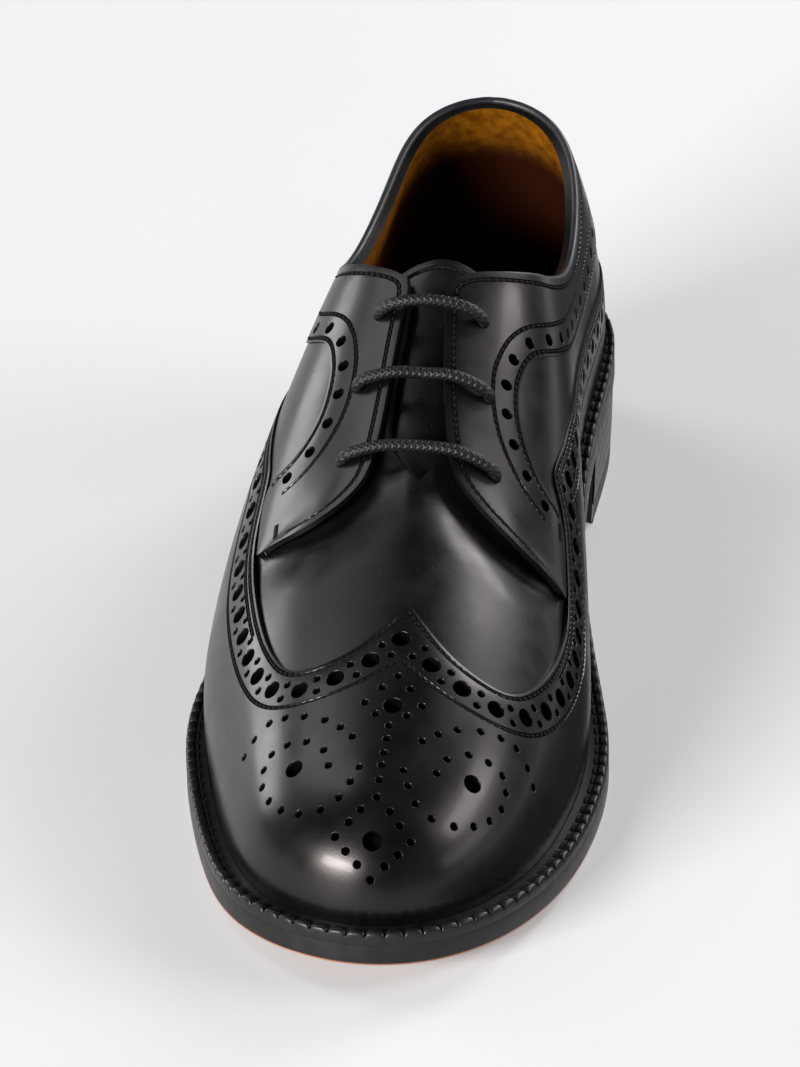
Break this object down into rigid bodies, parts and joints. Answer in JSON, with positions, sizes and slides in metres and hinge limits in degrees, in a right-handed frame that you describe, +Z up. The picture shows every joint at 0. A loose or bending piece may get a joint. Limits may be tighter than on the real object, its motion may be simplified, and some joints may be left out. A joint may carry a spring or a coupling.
{
  "type": "derby shoe",
  "caption": "Black leather derby shoe for the right foot with a pierced long wing cap, open lace facings, ribbed storm welt, leather sole and stacked heel.",
  "frame": {"origin": "middle of the bounding box in plan, on the floor under the sole", "axes": "+Z up, toe to -Y, heel to +Y, inner (medial) side of the foot to +X"},
  "size_m": [0.1086, 0.3, 0.0989],
  "materials": {
    "upper_leather": "black, polished",
    "edge_leather": "black edge ink, waxed",
    "sole_leather": "red-tan underside, black edge",
    "lining_leather": "matt orange-brown lining",
    "heel_rubber": "matt black",
    "lace_cord": "waxed round braid"
  },
  "bodies": {
    "root": {"outsole": "sole_leather", "welt": "edge_leather", "heel_stack": "edge_leather", "heel_top_piece": "heel_rubber", "insole": "lining_leather", "upper": "upper_leather", "wing_cap": "upper_leather", "quarter_lateral": "upper_leather", "quarter_medial": "upper_leather", "facing_lateral": "upper_leather", "facing_medial": "upper_leather", "tongue": "upper_leather", "lace_bar_1": "lace_cord", "lace_bar_2": "lace_cord", "lace_bar_3": "lace_cord"}
  },
  "joints": []
}
